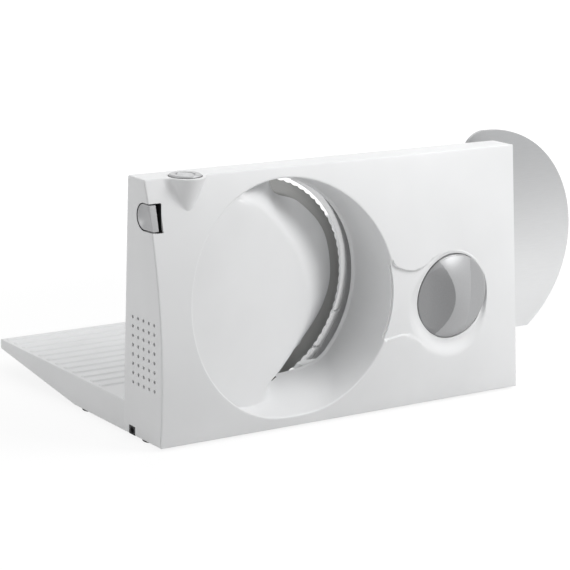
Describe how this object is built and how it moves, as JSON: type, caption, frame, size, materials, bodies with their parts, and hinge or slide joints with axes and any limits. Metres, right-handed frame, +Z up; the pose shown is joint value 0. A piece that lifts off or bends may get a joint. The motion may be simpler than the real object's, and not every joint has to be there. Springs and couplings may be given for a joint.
{
  "type": "electric food slicer",
  "caption": "Upright electric food slicer: white housing with a round dish around the blade, ribbed table, silver thickness knob, stop plate, sliding carriage and food holder",
  "frame": {"origin": "middle of the footprint, on the plane under the feet", "axes": "+X along the housing towards the thickness knob, +Y towards the food side, +Z up"},
  "size_m": [0.4394, 0.263, 0.2006],
  "materials": {
    "housing_white": "white satin-gloss moulding",
    "stop_plate_metal": "light grey satin sheet",
    "blade_steel": "turned, with a ground wavy edge",
    "drive_steel": "plain machined steel",
    "silver_trim": "silver metallic coating",
    "gear_nylon": "natural off-white",
    "grey_plastic": "light grey, fine texture",
    "motor_iron": "stacked sheet iron",
    "winding_copper": "lacquered copper",
    "bearing_bronze": "sintered bronze",
    "black_plastic": "black, matt",
    "soft_rubber": "dark, matt"
  },
  "bodies": {
    "housing": {"front_housing": "housing_white", "rear_housing": "housing_white", "base_cover": "housing_white", "base_screw_1": "drive_steel", "base_screw_2": "drive_steel", "base_screw_3": "drive_steel", "base_screw_4": "drive_steel", "foot_1": "soft_rubber", "foot_2": "soft_rubber", "foot_3": "soft_rubber", "foot_4": "soft_rubber", "cord_gland": "soft_rubber", "gear_plate": "grey_plastic", "gear_plate_screw_1": "drive_steel", "gear_plate_screw_2": "drive_steel", "gear_plate_screw_3": "drive_steel", "spindle_bush": "bearing_bronze", "intermediate_axle": "drive_steel", "motor_stator": "motor_iron", "field_coil_upper": "winding_copper", "field_coil_lower": "winding_copper", "brush_holder_1": "black_plastic", "brush_holder_2": "black_plastic", "motor_bracket_lower": "grey_plastic", "motor_bracket_upper": "grey_plastic", "motor_bearing_lower": "bearing_bronze", "motor_bearing_upper": "bearing_bronze", "guide_bush_1": "bearing_bronze", "guide_bush_2": "bearing_bronze", "button_ring": "silver_trim", "switch_body": "black_plastic", "terminal_block": "black_plastic", "housing_screw_1": "drive_steel", "housing_screw_2": "drive_steel", "housing_screw_3": "drive_steel", "housing_screw_4": "drive_steel", "on_off_spring": "drive_steel", "safety_spring": "drive_steel"},
    "blade": {"blade": "blade_steel", "blade_spindle": "drive_steel", "blade_gear": "gear_nylon"},
    "blade_lock": {"blade_lock": "grey_plastic"},
    "intermediate_gear": {"intermediate_gear": "gear_nylon"},
    "armature": {"motor_armature": "motor_iron", "commutator": "winding_copper", "motor_fan": "black_plastic"},
    "knob": {"thickness_knob": "silver_trim", "thickness_spindle": "gear_nylon"},
    "stop_plate": {"stop_plate": "stop_plate_metal", "drive_tube": "gear_nylon", "guide_post_1": "drive_steel", "guide_post_2": "drive_steel"},
    "on_off_button": {"on_off_button": "silver_trim"},
    "safety_button": {"safety_button": "silver_trim"},
    "carriage": {"carriage": "housing_white"},
    "food_holder": {"food_holder": "housing_white"}
  },
  "joints": [
    {"name": "blade_spin", "type": "hinge", "parent": "housing", "child": "blade", "pos_m": [-0.10124, -0.07332, 0.09487], "axis": [0, 0.9986, 0.0523], "continuous": true},
    {"name": "intermediate_spin", "type": "hinge", "parent": "housing", "child": "intermediate_gear", "pos_m": [-0.1491, -0.07366, 0.10136], "axis": [0, 0.9986, 0.0523], "continuous": true},
    {"name": "armature_spin", "type": "hinge", "parent": "housing", "child": "armature", "pos_m": [-0.1783, -0.09037, 0.06093], "axis": [0, -0.0523, 0.9986], "continuous": true},
    {"name": "blade_lock_turn", "type": "hinge", "parent": "blade", "child": "blade_lock", "pos_m": [-0.10124, -0.07332, 0.09487], "axis": [0, 0.9986, 0.0523], "range_deg": [0, 90]},
    {"name": "knob_turn", "type": "hinge", "parent": "housing", "child": "knob", "pos_m": [0.04776, -0.11279, 0.08379], "axis": [0, 0.9986, 0.0523], "range_deg": [0, 270]},
    {"name": "stop_plate_slide", "type": "slide", "parent": "housing", "child": "stop_plate", "axis": [0, -0.9986, -0.0523], "range_m": [0, 0.014]},
    {"name": "on_off_press", "type": "slide", "parent": "housing", "child": "on_off_button", "axis": [0, 0, -1], "range_m": [0, 0.003], "stiffness_N_per_m": 400, "springref_m": -0.002, "deforming": ["on_off_spring"]},
    {"name": "safety_press", "type": "slide", "parent": "housing", "child": "safety_button", "axis": [1, 0, 0], "range_m": [0, 0.0033], "stiffness_N_per_m": 400, "springref_m": -0.002, "deforming": ["safety_spring"]},
    {"name": "carriage_slide", "type": "slide", "parent": "housing", "child": "carriage", "axis": [-1, 0, 0], "range_m": [0, 0.19]},
    {"name": "holder_slide", "type": "slide", "parent": "carriage", "child": "food_holder", "axis": [0, -1, 0], "range_m": [0, 0.11]}
  ],
  "couplings": [
    {"joint": "intermediate_spin", "follows": "blade_spin", "ratio": -3},
    {"joint": "armature_spin", "follows": "blade_spin", "ratio": 96},
    {"joint": "knob_turn", "follows": "stop_plate_slide", "rad_per_m": 336.59}
  ]
}
